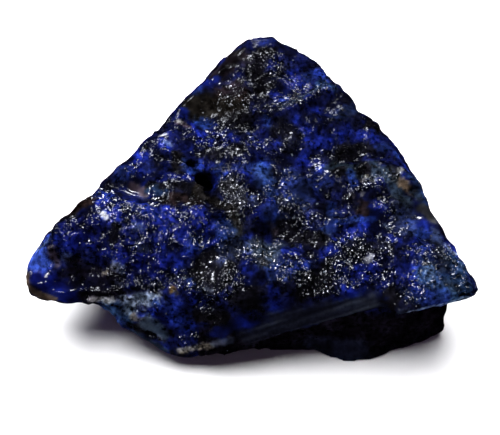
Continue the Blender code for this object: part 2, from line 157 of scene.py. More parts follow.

# Where the minerals lie, and some painted light, each marked where it stands: (what it is, tone,
# half width, strength, points along it). Points with two numbers are on the face, seen from above;
# points with three are anywhere on the skin.
ZONES = [
    # Round the apex.
    ("royal of the apex", "navy", 2.4, 0.7, [(1, 34), (9, 34), (13, 31)]),
    ("azure of the apex", "azure", 1.3, 0.35, [(3.5, 36.5), (6.5, 36.5)]),
    ("black below the apex", "matrix", 3.0, 0.9, [(4, 32.5), (1, 29), (3, 25), (5, 21)]),
    ("smooth brown edge", "brown", 2.6, 0.75, [(-8.5, 27.5), (-5, 30), (-2, 32)]),
    ("olive of the hollow", "olive", 3.8, 0.92, [(-14, 17.5), (-8, 18), (-3, 17)]),
    ("olive below the hollow", "matrix", 2.8, 0.8, [(-6, 13.5), (-1, 13)]),
    ("brown of the hollow", "brown", 2.6, 0.8, [(-7, 22), (-4, 24), (-2, 21)]),
    ("royal of the upper left edge", "royal", 1.5, 0.9, [(-11.5, 25.5), (-9, 26.3)]),
    ("bright grain of the upper left edge", "azure", 1.1, 0.6, [(-14, 21.7), (-12.8, 22.3)]),
    ("royal beside the crest", "royal", 2.0, 0.9, [(7, 20.3), (10, 19)]),
    ("azure grain beside the crest", "azure", 1.0, 0.8, [(9, 18.4), (10, 18.8)]),
    ("royal right of the apex", "royal", 2.4, 0.8, [(12, 25), (14, 22)]),
    ("azure right of the apex", "azure", 2.2, 0.55, [(15.5, 26), (18, 27), (19.5, 25)]),
    ("teal end of the crest", "teal", 1.8, 0.8, [(19, 22.5), (21.5, 22)]),
    ("green crest", "greyteal", 0.9, 0.8, [(8, 15.6), (12, 17.3), (15, 18.8), (19, 21)]),
    # The upper right, which is calm.
    ("navy below the crest", "navy", 3.0, 0.8, [(20, 18), (27, 18)]),
    ("teal of the upper right edge", "teal", 2.2, 0.5, [(23, 13), (27, 15.5)]),
    ("royal of the upper right", "royal", 2.4, 0.8, [(16, 16), (18, 13), (15, 9)]),
    ("royal across the upper right", "royal", 2.2, 0.75, [(14, 8.5), (18, 5.5), (22, 7)]),
    ("bright royal of the upper right", "royal", 1.2, 0.9, [(21, 7.5), (23.5, 8)]),
    ("black of the right notch", "matrix", 1.8, 0.9, [(31, 10.5), (34, 9)]),
    ("royal under the right notch", "royal", 1.8, 0.7, [(27, 8), (33, 7.5)]),
    ("azure of the right shoulder", "azure", 1.3, 0.6, [(33, 4.2), (34, 3.5)]),
    ("dark of the upper middle", "matrix", 2.6, 0.7, [(8, 9.5), (11, 8), (10, 6)]),
    ("dark above the vein", "matrix", 1.8, 0.85, [(23, 4), (26, 3.5), (30, 4)]),
    ("azure grains of the upper middle", "azure", 1.1, 0.7, [(4.5, 12), (4.8, 10.3)]),
    ("navy grain of the upper middle", "azure", 1.0, 0.35, [(0.5, 8), (1.5, 7)]),
    # The upper left.
    ("azure blob of the upper left", "azure", 1.9, 0.9, [(-12.2, 13.8), (-10.8, 12.6)]),
    ("royal of the left edge", "royal", 1.6, 0.8, [(-18.3, 14.3), (-16.5, 15)]),
    ("pink chips of the upper left", "pink", 0.8, 0.9, [(-18, 11.8), (-15.3, 11.2)]),
    ("white chip of the upper left", "white", 0.5, 0.9, [(-17.8, 12), (-17.2, 11.9)]),
    ("white grain of the upper left", "white", 0.6, 0.95, [(-22.4, 8), (-20.9, 7.9)]),
    ("grey grain of the upper left", "pale", 0.8, 0.7, [(-21, 5.6), (-19.5, 5)]),
    ("royal of the left slope", "royal", 3.2, 0.4, [(-28, 1), (-24, -1), (-21, -3)]),
    ("bright royal of the left slope", "azure", 1.9, 0.5, [(-31.5, -2.5), (-29.5, -3)]),
    ("olive by the small pit", "olive", 1.4, 0.7, [(-17.5, 2), (-17.5, -2.5)]),
    ("olive above the pits", "matrix", 2.0, 0.8, [(-11, 3.5), (-7, 3), (-2, 3.5)]),
    ("halo of the small pit", "azure", 1.1, 0.6,
     [(-15.6, 0.4), (-15, -2.6), (-12.4, -2.4), (-12.3, 0.6)]),
    ("blue grain under the small pit", "azure", 0.8, 0.9, [(-14.2, -3.3), (-13.4, -3.2)]),
    ("royal right of the large pit", "royal", 1.2, 0.9, [(-8.6, -3.6), (-8, -4.8)]),
    ("azure of the saddle", "azure", 1.3, 0.65, [(-7, -1.6), (-6, -2.8)]),
    # Painted shade in the groove behind the ridge, laid over its brown grains.
    ("dark of the groove", "matrix", 1.3, 0.85, [(-24, -6.2), (-18, -6.8), (-13, -7.8)]),
    ("brown of the groove", "brown", 1.7, 0.9, [(-20, -10.2), (-15, -10.6), (-13, -11.5)]),
    ("dark under the large pit", "olive", 1.8, 0.85,
     [(-12, -8.5), (-8, -10.5), (-4.5, -13), (-3, -17)]),
    ("pink patch of the groove", "pink", 1.1, 0.9, [(-28.3, -6), (-26.3, -7), (-25, -8.8)]),
    ("teal grain of the groove", "teal", 1.3, 0.85, [(-23.4, -7.6), (-21, -8.4)]),
    # The middle.
    ("grey patch", "grey", 2.2, 0.8, [(-4.6, -5.6), (-3.5, -8.5), (-1.8, -12)]),
    ("blue grain above the grey patch", "azure", 1.3, 0.55, [(-2.2, -1.8), (0, -2.2)]),
    ("azure of the middle", "azure", 1.9, 0.5, [(4.8, 0.4), (3.2, -3.4), (5, -5), (4, -8.3)]),
    ("teal round the azure", "teal", 3.0, 0.5, [(3, -3), (5, -7)]),
    ("pale blue grain of the middle", "pale", 1.0, 0.6, [(1, -10.8), (1.6, -11.6)]),
    ("teal of the middle", "teal", 3.0, 0.4, [(10, -4), (14, -7), (6, -14)]),
    ("azure of the right middle", "azure", 1.9, 0.4, [(18.3, -1.8), (16.8, -4.3), (18.5, -5)]),
    ("black of the middle", "matrix", 2.6, 0.9, [(8, -16.5), (12, -18), (17, -19)]),
    ("dark round the chips of the middle", "matrix", 2.0, 0.6, [(8, -10), (12, -13)]),
    ("pink grain of the middle", "pink", 0.9, 0.5, [(5.8, -16), (6.4, -16.6)]),
    ("grey field of the lower middle", "greyteal", 3.0, 0.6, [(-6, -18.5), (-3, -20.5), (-5, -23)]),
    ("pale spot of the lower middle", "pale", 2.1, 0.85, [(1, -20.8), (4, -22.2)]),
    ("teal of the lower middle", "greyteal", 2.8, 0.85, [(3, -22.5), (6, -22), (4, -25)]),
    ("tan grains of the lower middle", "tan", 1.0, 0.4, [(3, -24.5), (3.8, -25.5)]),
    ("azure of the lower middle", "azure", 2.2, 0.55, [(5.5, -28), (9, -27), (12.5, -27.5)]),
    ("royal of the lower middle", "royal", 1.6, 0.85, [(9, -22.5), (12, -22)]),
    ("royal crescent", "royal", 1.3, 0.9, [(19.3, -20.5), (17.6, -23.2), (16.4, -24.4)]),
    ("royal above the lip", "royal", 1.7, 0.9, [(5.6, -31.6), (6.2, -33.6)]),
    ("royal grain above the lip", "royal", 1.0, 0.8, [(0.8, -26.5), (1.2, -28)]),
    ("dark above the lip", "matrix", 2.2, 0.85, [(-3, -32.5), (1, -32.5)]),
    ("dark of the front edge", "matrix", 2.6, 0.85, [(13, -31), (17.5, -30), (20, -26.5)]),
    # The right.
    ("green of the vein", "green", 2.0, 0.8,
     [(21, -0.6), (26, -2), (31, -2.4), (35, -5), (37.5, -10)]),
    ("dark left of the vein", "matrix", 1.4, 0.85, [(21.8, -2.4), (23, -3.4)]),
    ("dark above the white chips", "matrix", 1.4, 0.9, [(28, -1.6), (29, -2)]),
    ("azure grain of the vein", "azure", 1.2, 0.8, [(25, -3.2), (25.6, -5.6)]),
    # Painted highlights: these four zones stand for glints on chips of the vein.
    ("white chips of the vein", "cream", 0.6, 0.75, [(27.8, -4.6), (28.8, -3.6)]),
    ("white grain of the vein", "white", 0.5, 0.9, [(29.8, -4.7), (30.6, -4.8)]),
    ("chips below the vein", "cream", 0.6, 0.6, [(24.8, -7.2), (25.4, -8.4)]),
    ("chip below the vein", "cream", 0.5, 0.7, [(27.3, -7.3), (27.5, -8)]),
    ("dark below the vein", "brown", 1.5, 0.85, [(27.2, -11.2), (27.4, -13)]),
    ("white grain of the right edge", "white", 1.05, 0.95, [(36.8, -2.9), (37.2, -2.6)]),
    ("grey round the white grain", "greybrown", 1.1, 0.7, [(35, -2.4), (35.8, -4)]),
    ("cream grain of the right edge", "cream", 0.9, 0.95, [(37.6, -6.1), (38.2, -6.5)]),
    ("yellow band of the right edge", "tan", 1.0, 0.85, [(36.8, -5.4), (39, -7.6), (41, -9)]),
    ("teal of the right edge", "teal", 1.7, 0.7, [(39.6, -3.6), (42, -8), (42.6, -10)]),
    ("azure grain of the right edge", "azure", 0.9, 0.85, [(36.8, 2.6), (37.4, 2.2)]),
    ("grey chamfer of the right edge", "greybrown", 1.6, 0.85, [(41.4, -11.6), (43.4, -13.6)]),
    ("pale chamfer of the right edge", "grey", 1.0, 0.6, [(43.6, -14.8), (44.8, -15.6)]),
    ("dark teal of the right", "greyteal", 2.8, 0.55, [(37, -11), (37.6, -17)]),
    ("bright royal of the right", "royal", 1.9, 0.95, [(29, -17.6), (32, -16.6)]),
    ("white streak of the right", "pale", 0.6, 0.9, [(32.6, -15.8), (33.8, -16.8)]),
    ("tongue", "azure", 1.5, 0.65, [(20, -11.8), (20, -15.6), (18.4, -17)]),
    ("line of the tongue", "azure", 0.6, 0.7, [(21, -16), (25, -15), (30, -14.4)]),
    ("royal below the tongue", "royal", 1.7, 0.85, [(23.6, -17.6), (23, -20)]),
    ("royal of the right rise", "royal", 1.7, 0.8, [(33.6, -19.8), (34.6, -20.6)]),
    ("dark of the lower right", "matrix", 2.2, 0.7, [(24.6, -22), (28, -22.5), (31, -22)]),
    ("royal of the lower right", "royal", 1.4, 0.95, [(21.8, -25.2), (21.2, -27.6)]),
    ("white grain of the lower right", "white", 0.8, 0.9, [(27, -25.3), (28, -25)]),
    ("bright royal above the band", "royal", 2.0, 0.95, [(28.4, -28.4), (28.6, -31), (23, -31.6)]),
    ("navy of the lower right", "navy", 2.8, 0.8, [(32, -26), (34, -29)]),
    ("dark nick", "matrix", 1.5, 0.9, [(31.6, -32), (33, -34)]),
    ("azure of the right front", "azure", 2.4, 0.6, [(40.6, -23), (40.8, -26)]),
    ("teal of the right front", "teal", 2.8, 0.85, [(39.2, -27.8), (44.5, -30.6), (48.2, -32)]),
    ("royal of the right front", "royal", 2.0, 0.8, [(37, -24.8), (36.8, -29)]),
    ("pale chips of the right front", "pale", 1.2, 0.5, [(41, -26.5), (41.6, -29.4)]),
    ("azure of the right lip", "azure", 1.8, 0.6, [(36, -32.6), (40, -33.4), (44, -33.4)]),
    ("azure under the chamfer", "azure", 1.5, 0.75, [(40.4, -18), (41, -19)]),
    ("grey streak of the right", "greyteal", 1.3, 0.7, [(43.6, -18), (44.6, -22), (44.4, -27)]),
    ("teal of the right corner", "teal", 2.4, 0.9, [(47, -25.6), (48.4, -28.6), (48, -31.4)]),
    ("green of the right corner", "greyteal", 1.2, 0.6, [(44.8, -30.6), (46.6, -31.6)]),
    ("royal of the right corner", "royal", 1.4, 0.7, [(47.6, -22), (49.8, -25)]),
    ("white chips of the right corner", "pale", 0.5, 0.9,
     [(45.8, -21.6), (46.6, -23), (47.8, -24)]),
    # The left ridge and the left tip.
    ("royal of the ridge", "royal", 3.8, 0.95,
     [(-36, -10), (-30, -13), (-24, -14.6), (-17, -16), (-9, -17)]),
    ("azure start of the ridge", "azure", 1.9, 0.5, [(-36, -8.6), (-33, -9.8)]),
    ("azure of the ridge", "azure", 1.5, 0.4, [(-29, -12), (-24.6, -13.6), (-21.4, -14.6)]),
    ("azure end of the ridge", "azure", 2.1, 0.75, [(-6.4, -17), (-5.2, -17.6)]),
    ("royal below the ridge", "royal", 3.0, 0.85, [(-27, -18.4), (-20, -19.4), (-12, -20.6)]),
    ("azure below the ridge", "azure", 1.5, 0.6, [(-13.6, -20.6), (-11.4, -20)]),
    # Painted highlights: these three zones stand for glints on the wet lumps of the ridge.
    ("white grain of the ridge", "white", 0.8, 0.95, [(-34, -15), (-33.4, -15.6)]),
    ("white chips of the ridge", "pale", 1.0, 0.6, [(-26.6, -17.2), (-25.2, -17.6)]),
    ("white chips below the ridge", "pale", 1.2, 0.6, [(-26.6, -21.8), (-24.6, -21.8)]),
    ("brown of the left edge", "brown", 2.4, 0.97,
     [(-43, -17), (-42, -14), (-40.2, -12), (-39, -10.8)]),
    ("black of the left edge", "matrix", 1.2, 0.9, [(-41, -15.4), (-42.6, -16.6)]),
    ("deep blue of the left field", "deep", 3.4, 0.85, [(-40, -18.6), (-34, -19.6), (-28, -24)]),
    ("black spots of the left field", "matrix", 1.2, 0.8, [(-31, -17.6), (-31.6, -21)]),
    ("azure edge of the left tip", "facet", 1.7, 0.8, [(-50.2, -21), (-47.5, -19.8), (-45.5, -20)]),
    ("pale edge of the left tip", "shelf", 0.7, 0.7, [(-49.6, -21), (-48, -20.4), (-46.4, -20.8)]),
    ("royal of the left tip", "royal", 2.2, 0.9, [(-43.4, -19.6), (-45, -22)]),
    ("pink streak of the left tip", "pink", 1.0, 0.8, [(-46, -22.2), (-45, -24.2)]),
    ("azure facet of the left tip", "facet", 2.5, 0.97, [(-50.7, -23.6), (-48.4, -24)]),
    ("grey chips of the left tip", "pale", 0.7, 0.6, [(-43.2, -23.4), (-41.6, -23)]),
    ("blue below the left tip", "deep", 2.6, 0.9,
     [(-49, -27, 20.5), (-45, -28, 20), (-43, -29.5, 17)]),
    # Painted shade: black in the valley in front of the ridge, whose slope turns from the light.
    ("black of the valley", "root", 2.6, 0.97, [(-41, -26.4), (-36, -27), (-31, -27.4)]),
    ("black in front of the valley", "root", 2.2, 0.95, [(-38, -30, 18), (-30, -30, 19)]),
    # Painted highlight: a cluster of glints in the valley.
    ("lilac chips of the valley", "pale", 1.0, 0.75, [(-31.4, -24.8), (-29.6, -25.4)]),
    ("cream chip of the valley", "cream", 0.5, 0.8, [(-34, -25.9), (-33.2, -25.8)]),
    # Painted highlight: a cluster of glints in the valley.
    ("white chips of the valley", "pale", 0.7, 0.8, [(-30.8, -28), (-29.8, -28.2)]),
    ("royal lump of the left field", "royal", 1.8, 0.95, [(-18.2, -23.4), (-17, -24.2)]),
    ("deep blue below the left field", "deep", 2.0, 0.85, [(-25, -24.4), (-20, -25.4)]),
    # Painted shade at the end of the valley.
    ("black end of the valley", "matrix", 1.8, 0.9, [(-10.6, -23.6), (-8.6, -22), (-12, -26)]),
    ("black field of the front", "matrix", 2.8, 0.85, [(-11, -27), (-5, -26.6), (-8, -30)]),
    ("blue streak of the front", "azure", 0.8, 0.7, [(-14, -28), (-12.8, -29.4)]),
    ("lilac chips of the front", "pale", 0.9, 0.6, [(-10.6, -30.8), (-9.2, -31)]),
    ("amber spot", "amber", 1.0, 0.95, [(-17.6, -29.8, 21.4), (-16.8, -30.2, 21)]),
    ("tan edge of the left tip", "tan", 1.1, 0.95,
     [(-52.4, -26.2, 21.5), (-52.2, -28, 20.3), (-50.2, -29.6, 19), (-45.8, -30.6, 17.8)]),
    ("tan below the left tip", "tan", 1.0, 0.8, [(-49.6, -30.4, 17.6), (-46.5, -30.4, 17)]),
    # The front, under the face.
    ("royal lump of the front", "royal", 3.2, 0.95, [(-18, -32, 18), (-15, -35, 14)]),
    ("azure of the lump", "azure", 2.4, 0.4, [(-18, -32, 18), (-15, -35, 14)]),
    ("blue above the band", "royal", 2.0, 0.8,
     [(-7.8, -37.6, 13.2), (0.4, -36.3, 16), (3.9, -35.6, 17)]),
    ("teal of the shelf", "teal", 2.8, 0.9, [(-33, -31.5, 15), (-29, -32.5, 13.5)]),
    # Partly the shelf's own pale grey, partly painted reflection of the floor and painted glints.
    ("pale grey shelf", "shelf", 2.3, 0.95,
     [(-28.8, -30.2, 16.6), (-25.5, -30.4, 18), (-21.8, -31.2, 19)]),
    ("lower shelf", "shelf", 1.6, 0.8, [(-28.5, -31.6, 15), (-25.5, -32.4, 15)]),
    ("azure end of the shelf", "azure", 1.5, 0.8, [(-22, -31.4, 18), (-20.6, -32, 16.6)]),
    ("tan of the shelf", "tan", 1.3, 0.7, [(-27.4, -32.8, 13.6), (-25.8, -33, 13.6)]),
    # Painted highlight: a strip of glints along the top of the shelf.
    ("white top of the shelf", "white", 1.1, 0.85, [(-36.9, -30.7, 17.7), (-32, -30.5, 17.4)]),
    # Partly the facet's own grey-teal, partly painted reflection of the floor.
    ("grey facet of the front", "greyteal", 2.4, 0.95, [(-24, -34.2, 12.8), (-21, -36.5, 11)]),
    # Painted shade in the crack.
    ("dark crack of the front", "matrix", 0.7, 0.95, [(-26, -35, 10.8), (-20.4, -36.8, 9.4)]),
    ("grey ledge of the front", "greyteal", 1.2, 0.9, [(-28.2, -35, 9.7), (-20.3, -38.4, 6.6)]),
    ("cream patch of the lip", "cream", 1.0, 0.85,
     [(-16.5, -38.8, 7.6), (-12.1, -38.7, 9), (-8.8, -38.6, 9.8)]),
    ("pale lip", "pale", 1.1, 0.7, [(-8, -38.7, 10.8), (-4.3, -38.4, 12.2)]),
    # Painted reflection: the grey of the band stands for the pale floor seen in its wet film.
    ("grey band above the lip", "band", 3.4, 0.95,
     [(7.4, -35.9, 17.2), (18.7, -35, 19.6), (27.6, -34.4, 22)]),
    ("lower end of the grey band", "band", 2.6, 0.9, [(0.4, -38.1, 13), (12, -36.5, 17)]),
    ("pale facet under the right lip", "pale", 1.3, 0.55, [(34, -37, 21.5), (37, -36.4, 22)]),
    ("pale edge of the right lip", "pale", 0.9, 0.85,
     [(33.5, -37.2, 21.3), (37, -35.9, 21.4), (45, -34.4, 21.6), (51, -32.4, 21.4)]),
    ("blue of the toe", "toe", 4.2, 0.9, [(16, -36.5, 3), (27, -37.5, 3)]),
]
LARGE_ZONE_WANDERS = [(2.4, 1.3, 20), (0.9, 0.7, 24)]  # these make its edge ragged
SMALL_ZONE_WANDERS = [(0.9, 0.5, 24)]
SMALL_ZONE = 1.25  # the largest half width of a small zone
ZONE_EDGE = (0.55, 1.3)  # shares of the half width between which a zone fades

# The minerals where no zone lies, and how light each tone is from place to place: at random, and
# by the relief, which paints shade in the creases and light on the tops of lumps.
SHADE_LEVEL = 0.41
SHADE_NOISES = [(4.6, 0.55, 30), (1.9, 0.45, 31)]
RELIEF_PAINTED_SHADE = 0.36  # painted shade in creases and painted light on tops, per mm of relief
ROYAL_NOISES = [(6.0, 1.0, 33), (2.4, 0.7, 34)]
ROYAL_EDGE = (-0.1, 0.5)  # noises between which navy turns into royal
DARK_NOISES = [(6.5, 1.0, 40), (2.2, 0.45, 41)]
DARK_EDGE = (0.16, 0.40)  # noises between which blue turns into dark grains
DARK_LOSS = 0.6  # the share of the dark grains that the face lacks
# The root: darker towards the bottom, its own dark together with painted shade under the overhang.
ROOT_NOISES = [(7.0, 4.0, 36)]
ROOT_TOP, ROOT_BLEND = 17.0, 5.0  # the dark root's height, and the height over which it fades
ROOT_LEFT = -12.0  # the x where it ends
ROOT_FRONT = -30.0  # the y in front of which its top is level
STREAKED_TONES = ("band",)
STREAK_NOISES = [(1.1, 0.9, 45)]
STREAK_LEVEL = 0.5
STREAK_DIRECTION = (26.6, 4.0, 10.5)
STREAK_STRETCH = 0.92  # 0 for no streaks, 1 for endless ones

# The finish of the skin: how much of it a wet film covers, how chipped it is and how rippled, each
# from 0 to 1. First the usual finish, as levels with their noises, and then where it is another:
# (what it is, film, chips, ripples, half width, points along it).
USUAL_FINISH = [
    (0.15, [(5.0, 0.9, 50)]),  # film
    (0.35, [(7.0, 0.5, 53)]),  # chips
    (0.12, [(6.0, 0.8, 58)]),  # ripples
]
FINISHES = [
    ("calm upper left", 0.1, 0.35, 0.1, 6.5, [(-19, 10), (-16, 3), (-10, 1)]),
    ("calm upper right", 0.18, 0.3, 0.12, 7.0, [(15, 13), (22, 10), (28, 6), (34, 3)]),
    ("calm right slope", 0.12, 0.25, 0.1, 3.6, [(20, 17), (22, 15), (27, 16)]),
    ("calm royal of the upper right", 0.12, 0.3, 0.1, 2.2, [(17.5, 7.2), (16, 10)]),
    ("calm upper middle", 0.35, 0.35, 0.15, 3.6, [(8, 9), (12, 6), (20, 2)]),
    ("calm hollow", 0.12, 0.25, 0.05, 3.6, [(-13, 18), (-8, 15.5), (-3, 13)]),
    ("calm below the apex", 0.15, 0.3, 0.1, 2.6, [(-1, 31), (0.5, 27), (1, 24), (2.5, 19)]),
    ("smooth upper left edge", 0.12, 0.1, 0.05, 3.0, [(-17, 17), (-12, 24), (-8, 28.5), (-3, 32)]),
    ("calm apex", 0.05, 0.2, 0.1, 3.0, [(0, 34.5), (9, 35), (12, 32.5)]),
    ("calm saddle", 0.3, 0.35, 0.1, 2.6, [(-9, 3.5), (-2, 3)]),
    ("calm below the hollow", 0.12, 0.4, 0.1, 2.0, [(-7.2, 11.2), (-3.2, 9.5), (1, 9.2)]),
    ("calm above the saddle", 0.15, 0.3, 0.05, 1.8, [(-23.5, 8.2), (-20.8, 5.2)]),
    ("calm upper left edge", 0.12, 0.3, 0.05, 3.0, [(-21, 16), (-24, 9), (-28, 5), (-32, 0)]),
    ("calm left slope", 0.12, 0.3, 0.1, 4.0, [(-28, 3), (-24, 0), (-20, -4)]),
    ("calm left of the large pit", 0.15, 0.3, 0.1, 2.0, [(-20, -3), (-16, -4.5)]),
    ("calm groove", 0.3, 0.25, 0.1, 2.2, [(-23, -7), (-14, -9.6)]),
    ("calm left field", 0.45, 0.5, 0.25, 4.0, [(-44, -20), (-37, -19.6), (-31, -22)]),
    ("smooth left tip", 0.35, 0.25, 0.15, 3.4, [(-50, -24), (-46, -27), (-41, -27.5)]),
    ("underside of the left tip", 0.3, 0.1, 0.05, 3.5, [(-48.9, -28, 19), (-40, -30, 18)]),
    ("calm end of the left field", 0.2, 0.3, 0.15, 2.2, [(-25, -24.6), (-17, -24.2), (-12, -24.6)]),
    ("smooth tongue", 0.35, 0.1, 0.1, 1.9, [(19.4, -16), (20.4, -13)]),
    ("calm middle", 0.18, 0.35, 0.1, 2.4, [(9, -18.4), (16, -19.4), (18, -23)]),
    ("calm right", 0.5, 0.4, 0.2, 2.4, [(36.6, -12), (37.4, -18)]),
    ("grey chamfer of the right edge", 0.35, 0.1, 0.1, 2.0, [(41.4, -11.6), (44.4, -15.6)]),
    ("chips of the crest", 1.0, 1.0, 0.5, 1.5,
     [(8, 15.6), (12, 17.4), (15, 19), (19, 21), (22, 22)]),
    ("chips of the apex", 0.8, 0.9, 0.4, 1.5, [(4.1, 29.2), (7.2, 27.3), (10.3, 23.6)]),
    ("chips right of the apex", 1.0, 0.7, 0.7, 1.6, [(12, 24.6), (13.6, 20.4)]),
    ("ripples beside the crest", 1.0, 0.4, 1.0, 1.3, [(8.4, 18), (10.4, 19)]),
    ("chips of the hollow", 1.0, 0.9, 0.4, 0.9, [(-7.4, 21.1), (-4.8, 19.6)]),
    ("chips above the hollow", 1.0, 0.7, 0.6, 0.8, [(-4.6, 24.2), (-2.7, 21.7)]),
    ("chips below the apex", 0.85, 0.8, 0.6, 0.9, [(-0.4, 19.9), (0.9, 16.3)]),
    ("chips below the crest", 0.9, 0.9, 0.3, 1.1, [(1.6, 15.4), (5, 15)]),
    ("chips of the upper left", 0.55, 0.9, 0.2, 1.7, [(-14.2, 8.7), (-9.5, 7.6), (-4.6, 5.9)]),
    ("chips of the upper middle", 0.9, 0.6, 0.5, 1.2, [(-3, 6.6), (3, 6)]),
    ("chips of the grey patch", 1.0, 1.0, 0.7, 2.5, [(-4.6, -5.6), (-3, -8.6), (-1.4, -12.4)]),
    ("ripples below the grey patch", 1.0, 0.4, 1.0, 1.0, [(-1, -15.6), (0, -16.6)]),
    ("chips of the middle", 0.8, 0.8, 0.3, 3.0, [(6, -8), (11, -12), (15, -15)]),
    ("chips of the vein", 1.0, 0.7, 0.8, 1.6, [(24.6, -8), (28, -4.6), (30.4, -4.8), (34.6, -4)]),
    ("chips of the right", 1.0, 0.8, 0.6, 1.7, [(32, -11.6), (33.6, -12.8)]),
    ("ripples of the right", 1.0, 0.3, 1.0, 1.0, [(32.6, -15.8), (33.8, -16.8)]),
    ("chips of the lower right", 1.0, 0.9, 0.4, 2.8, [(22, -23), (28, -23), (26, -27.4)]),
    ("chips above the band", 1.0, 0.7, 0.8, 2.0, [(24.4, -29.6), (27, -30), (32.6, -29.4)]),
    ("chips of the right front", 1.0, 1.0, 0.9, 3.0, [(40.6, -24), (40.4, -29), (37, -32)]),
    ("chips of the right corner", 1.0, 1.0, 1.0, 2.0, [(47, -23), (48, -29), (50, -32)]),
    ("chips of the front edge", 1.0, 1.0, 0.8, 2.4, [(11, -27), (14, -31), (18, -31), (20, -27)]),
    ("chips left of the front edge", 1.0, 0.8, 0.9, 1.5, [(-5, -27), (-2, -29)]),
    ("chips of the front", 1.0, 1.0, 1.0, 2.4,
     [(-19, -27.6), (-13, -29), (-10.9, -32.3), (-4, -30)]),
    ("chips of the lower middle", 0.9, 0.7, 0.5, 2.8, [(2, -21), (5, -24), (9, -27)]),
    ("chips of the grey field", 0.8, 0.8, 0.4, 2.8, [(-6, -18.6), (-3, -21)]),
    ("wet lumps of the ridge", 0.8, 0.3, 0.9, 3.4,
     [(-36, -9), (-30, -13), (-26, -16.6), (-18, -17), (-11, -18)]),
    ("wet lumps below the ridge", 1.0, 0.5, 1.0, 1.7, [(-26.4, -21.6), (-22, -22)]),
    ("dull black of the valley", 0.08, 0.3, 0.1, 2.4, [(-42, -26), (-36, -27), (-32, -27.4)]),
    ("wet lump of the front", 0.75, 0.5, 0.8, 2.4, [(-18, -32, 18), (-15, -35, 14)]),
    ("wet lumps of the valley", 1.0, 0.5, 1.0, 1.3, [(-31.4, -24.8), (-29.4, -25.6)]),
    ("wet chips of the valley", 1.0, 0.7, 1.0, 1.6, [(-31.5, -25.7), (-28.1, -27.9), (-22, -28.6)]),
    ("chips in front of the valley", 1.0, 0.8, 0.8, 1.5, [(-30, -30), (-27.8, -31.6)]),
    ("calm lump of the front", 0.4, 0.4, 0.2, 3.6, [(-17.8, -31.5, 19.3), (-14.4, -35.8, 12.3)]),
    ("grey band above the lip", 0.12, 0.1, 0.0, 4.6,
     [(-2, -37.8, 14), (12, -36.5, 18.5), (30, -34, 22.5)]),
    ("root", 0.1, 0.3, 0.1, 7.0, [(6, -36, 6), (24, -35, 9), (42, -34, 11)]),
    ("facet of the toe", 0.15, 0.1, 0.05, 3.8, [(18, -36.5, 2.5), (27, -37.5, 3)]),
    ("chips of the shelf", 1.0, 0.8, 0.8, 2.2, [(-36.2, -30.3, 18), (-32.7, -30.5, 17.4)]),
    ("wet lumps of the shelf", 1.0, 0.9, 1.0, 2.4, [(-28.5, -30.8, 16), (-21.9, -31.6, 17.9)]),
    ("grey facet of the front", 0.4, 0.1, 0.1, 2.2, [(-24, -34.2, 12.8), (-21, -36.5, 11)]),
    ("dull brown of the hollow", 0.08, 0.3, 0.1, 2.0, [(-5.6, 15.4), (-3, 14.6)]),
    ("dull upper right", 0.08, 0.3, 0.1, 2.2, [(21, 13.6), (24.6, 12.6)]),
    ("dull above the pits", 0.12, 0.3, 0.1, 2.0, [(-12, 2.6), (-4.4, 1.8)]),
    ("dull upper left edge", 0.12, 0.3, 0.1, 2.0, [(-25.4, 1.4), (-23.6, 2.2)]),
    ("dull left of the large pit", 0.1, 0.3, 0.1, 2.2, [(-18.2, -3.4), (-17.4, -9.6)]),
    ("dull right of the middle", 0.12, 0.3, 0.1, 2.2,
     [(22, 3), (21.8, -3.8), (21.4, -8.4), (21.2, -13)]),
    ("dull middle", 0.25, 0.4, 0.1, 1.8, [(15.4, 3), (15, -2.6)]),
    ("dull below the middle", 0.2, 0.4, 0.1, 2.0, [(8, -17.6), (15, -18)]),
    ("dull lower middle", 0.45, 0.6, 0.2, 1.8, [(7.6, -23.8), (8.4, -24.4)]),
    ("dull below the grey field", 0.3, 0.4, 0.1, 1.8, [(-5, -22.8), (-4, -23.2)]),
    ("dull above the lower right", 0.45, 0.5, 0.2, 1.8, [(20, -21.6), (21, -22)]),
    ("dull right", 0.35, 0.4, 0.1, 2.0, [(33.4, -19), (32.8, -24.4)]),
    ("dull foot of the ridge", 0.4, 0.4, 0.3, 1.8, [(-18, -14), (-17, -15)]),
    ("dull left field", 0.3, 0.4, 0.2, 2.0, [(-37, -19.2), (-29.4, -19.2)]),
    ("bright chips of the grey patch", 1.0, 1.0, 0.8, 1.8, [(-4.6, -8), (-3.4, -10.4)]),
    ("chips right of the grey patch", 1.0, 0.9, 0.5, 1.2, [(1.8, -9.6), (1.8, -14.6)]),
    ("bright lumps of the ridge", 1.0, 0.4, 1.0, 1.6, [(-31, -14), (-28, -16)]),
    ("wet lumps at the end of the ridge", 1.0, 0.5, 1.0, 1.6, [(-11.6, -18.4), (-9.6, -19)]),
    ("wet lumps of the left field", 0.9, 0.5, 1.0, 1.3, [(-29.8, -23.2), (-23.4, -23)]),
    ("bright chips of the valley", 1.0, 1.0, 1.0, 1.3, [(-30.6, -26), (-29.2, -27.2)]),
    ("chips in the crack", 1.0, 0.9, 0.5, 1.0, [(-23.6, -35.6, 11), (-21.6, -36.3, 10.4)]),
]
FINISH_WANDERS = [(3.0, 1.5, 56)]
FINISH_EDGE = (0.5, 1.4)

